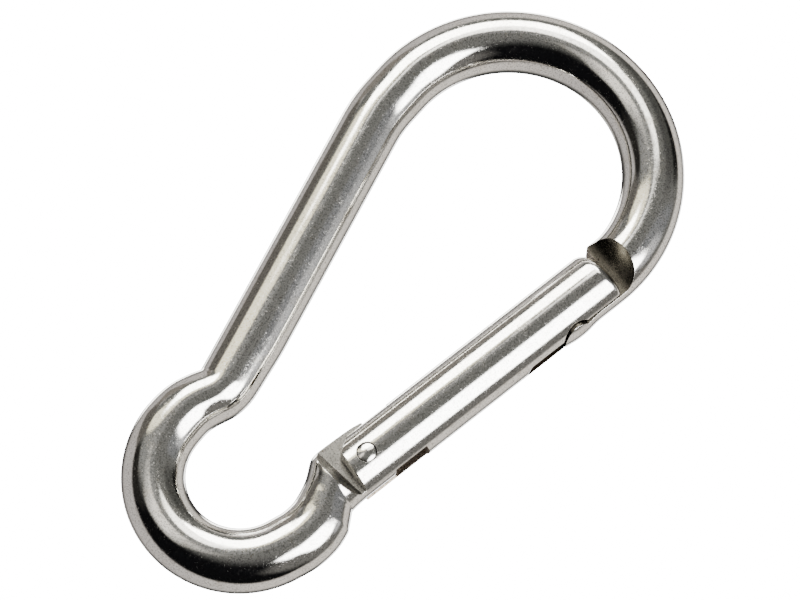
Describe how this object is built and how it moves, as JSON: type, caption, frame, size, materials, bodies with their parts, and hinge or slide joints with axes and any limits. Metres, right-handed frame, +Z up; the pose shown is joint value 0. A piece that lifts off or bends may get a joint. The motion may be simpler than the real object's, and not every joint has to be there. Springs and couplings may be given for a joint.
{
  "type": "spring snap hook",
  "caption": "Round-bar carbine hook with a large and a small bow and a spring-loaded gate that opens inwards and closes flush on the nose.",
  "frame": {"origin": "bearing point of the large bow: the top of its inner edge, on the hook's middle plane", "axes": "+Z up the hook towards the large bow, +X towards the gate's side, +Y square to the hook's plane; the hook hangs from the large bow"},
  "size_m": [0.0596, 0.0108, 0.1198],
  "materials": {
    "polished_bar": "mirror-polished stainless steel, satin where the tang and the nose are milled",
    "polished_gate": "mirror-polished stainless steel",
    "polished_pin": "polished flush with the gate",
    "turned_plunger": "as turned",
    "spring_wire": "drawn spring wire"
  },
  "bodies": {
    "hook": {"frame": "polished_bar"},
    "gate": {"gate": "polished_gate", "hinge_pin": "polished_pin", "gate_spring": "spring_wire"},
    "plunger": {"spring_plunger": "turned_plunger"}
  },
  "joints": [
    {"name": "gate_hinge", "type": "hinge", "parent": "hook", "child": "gate", "pos_m": [0.01426, 0, -0.07387], "axis": [0, -1, 0], "range_deg": [0, 35], "stiffness_Nm_per_rad": 0.16, "springref_deg": -51.57},
    {"name": "plunger_slide", "type": "slide", "parent": "gate", "child": "plunger", "axis": [0.1884, 0, 0.9821], "range_m": [0, 0.0029], "deforming": ["gate_spring"]}
  ],
  "couplings": [
    {"joint": "plunger_slide", "follows": "gate_hinge", "m_per_rad": 0.0046}
  ]
}
